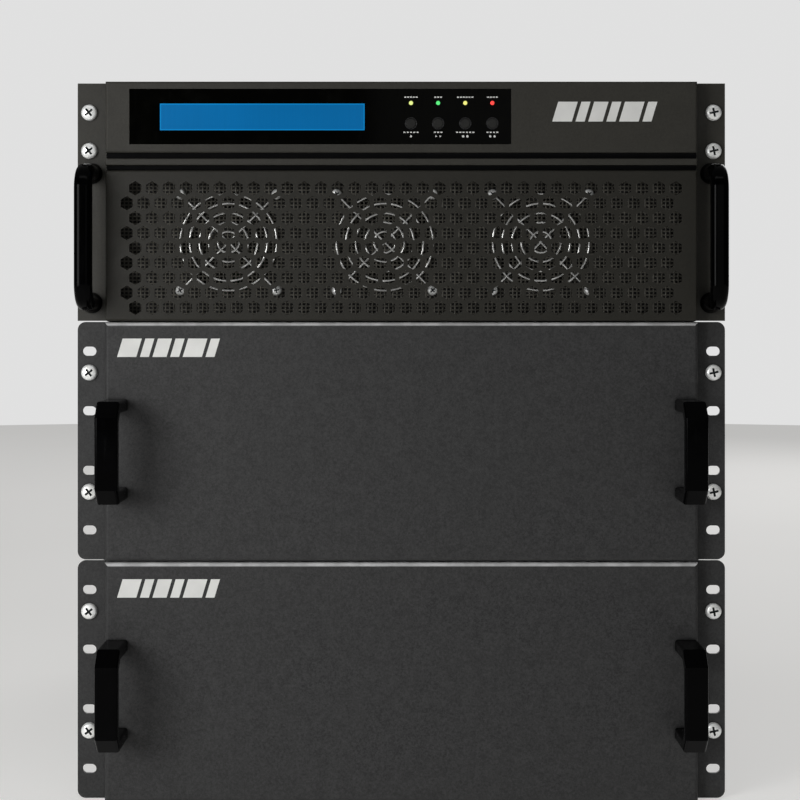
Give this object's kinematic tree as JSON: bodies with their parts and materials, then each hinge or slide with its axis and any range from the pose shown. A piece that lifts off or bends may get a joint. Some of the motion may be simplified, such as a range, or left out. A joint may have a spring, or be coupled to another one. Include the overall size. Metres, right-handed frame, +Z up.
{
  "type": "rackmount ups",
  "caption": "Rack-mount power backup stack: a power module with display and fan intake above two battery modules with bow handles, all with rack ears.",
  "frame": {"origin": "centre of the stack's footprint, on the surface that the lowest case stands on", "axes": "+X to the right seen from the front, +Y from the front panels to the rear, +Z up"},
  "size_m": [0.4826, 0.64, 0.533],
  "materials": {
    "case_paint": "satin",
    "front_paint": "satin",
    "bezel_paint": "satin",
    "zinc": "satin",
    "handle_black": "gloss",
    "battery_plastic": "matte",
    "breaker_plastic": "satin",
    "lever_plastic": "satin",
    "socket_plastic": "matte",
    "outlet_plastic": "satin",
    "window_gloss": "gloss",
    "lcd_blue": "gloss",
    "board": "satin",
    "led_green": "gloss",
    "screen_mesh": "matte",
    "heatsink": "satin",
    "capacitor_sleeve": "satin",
    "fan_plastic": "satin",
    "guard_chrome": "polished",
    "button_rubber": "matte"
  },
  "bodies": {
    "lower_battery_module": {"lower_case": "case_paint", "lower_cover": "case_paint", "lower_ears": "front_paint", "lower_rack_screws": "zinc", "lower_front_panel": "front_paint", "lower_handle_left": "handle_black", "lower_handle_right": "handle_black", "lower_batteries": "battery_plastic", "lower_breaker": "breaker_plastic", "lower_battery_sockets": "socket_plastic"},
    "upper_battery_module": {"upper_case": "case_paint", "upper_cover": "case_paint", "upper_ears": "front_paint", "upper_rack_screws": "zinc", "upper_front_panel": "front_paint", "upper_handle_left": "handle_black", "upper_handle_right": "handle_black", "upper_batteries": "battery_plastic", "upper_breaker": "breaker_plastic", "upper_battery_sockets": "socket_plastic"},
    "ups_module": {"ups_case": "case_paint", "ups_cover": "case_paint", "ups_ear_left": "bezel_paint", "ups_ear_right": "bezel_paint", "ups_rack_screws": "zinc", "ups_handle_left": "handle_black", "ups_handle_right": "handle_black", "display_bezel": "bezel_paint", "display_window": "window_gloss", "lcd_module": "lcd_blue", "display_board": "board", "status_leds": "led_green", "front_grille": "bezel_paint", "intake_screen": "screen_mesh", "fan_screws": "zinc", "power_board": "board", "heatsinks": "heatsink", "capacitors": "capacitor_sleeve", "ups_breaker": "breaker_plastic", "ups_battery_socket": "socket_plastic", "output_sockets": "outlet_plastic", "terminal_block": "outlet_plastic", "terminal_cover": "case_paint", "interface_panel": "zinc", "fan_frame_left": "fan_plastic", "fan_frame_middle": "fan_plastic", "fan_frame_right": "fan_plastic", "fan_guard_left": "guard_chrome", "fan_guard_middle": "guard_chrome", "fan_guard_right": "guard_chrome"},
    "lower_breaker_lever": {"lower_breaker_lever": "lever_plastic"},
    "upper_breaker_lever": {"upper_breaker_lever": "lever_plastic"},
    "ups_breaker_lever": {"ups_breaker_lever": "lever_plastic"},
    "button_1": {"button_1": "button_rubber"},
    "button_2": {"button_2": "button_rubber"},
    "button_3": {"button_3": "button_rubber"},
    "button_4": {"button_4": "button_rubber"},
    "fan_rotor_left": {"fan_rotor_left": "fan_plastic"},
    "fan_rotor_middle": {"fan_rotor_middle": "fan_plastic"},
    "fan_rotor_right": {"fan_rotor_right": "fan_plastic"}
  },
  "joints": [
    {"name": "upper_battery_module_slide", "type": "slide", "parent": "lower_battery_module", "child": "upper_battery_module", "axis": [0, -1, 0], "range_m": [0, 0.45]},
    {"name": "ups_module_slide", "type": "slide", "parent": "lower_battery_module", "child": "ups_module", "axis": [0, -1, 0], "range_m": [0, 0.45]},
    {"name": "lower_breaker_switch", "type": "hinge", "parent": "lower_battery_module", "child": "lower_breaker_lever", "pos_m": [-0.14, 0.293, 0.088], "axis": [-1, 0, 0], "range_deg": [0, 70]},
    {"name": "upper_breaker_switch", "type": "hinge", "parent": "upper_battery_module", "child": "upper_breaker_lever", "pos_m": [-0.14, 0.293, 0.2658], "axis": [-1, 0, 0], "range_deg": [0, 70]},
    {"name": "ups_breaker_switch", "type": "hinge", "parent": "ups_module", "child": "ups_breaker_lever", "pos_m": [-0.05, 0.293, 0.4076], "axis": [-1, 0, 0], "range_deg": [0, 70]},
    {"name": "button_1_press", "type": "slide", "parent": "ups_module", "child": "button_1", "axis": [0, 1, 0], "range_m": [0, 0.001], "stiffness_N_per_m": 600, "springref_m": -0.0005},
    {"name": "button_2_press", "type": "slide", "parent": "ups_module", "child": "button_2", "axis": [0, 1, 0], "range_m": [0, 0.001], "stiffness_N_per_m": 600, "springref_m": -0.0005},
    {"name": "button_3_press", "type": "slide", "parent": "ups_module", "child": "button_3", "axis": [0, 1, 0], "range_m": [0, 0.001], "stiffness_N_per_m": 600, "springref_m": -0.0005},
    {"name": "button_4_press", "type": "slide", "parent": "ups_module", "child": "button_4", "axis": [0, 1, 0], "range_m": [0, 0.001], "stiffness_N_per_m": 600, "springref_m": -0.0005},
    {"name": "fan_left_spin", "type": "hinge", "parent": "ups_module", "child": "fan_rotor_left", "pos_m": [-0.1286, -0.248, 0.4145], "axis": [0, 1, 0], "continuous": true},
    {"name": "fan_middle_spin", "type": "hinge", "parent": "ups_module", "child": "fan_rotor_middle", "pos_m": [-0.0124, -0.248, 0.4145], "axis": [0, 1, 0], "continuous": true},
    {"name": "fan_right_spin", "type": "hinge", "parent": "ups_module", "child": "fan_rotor_right", "pos_m": [0.1038, -0.248, 0.4145], "axis": [0, 1, 0], "continuous": true}
  ]
}
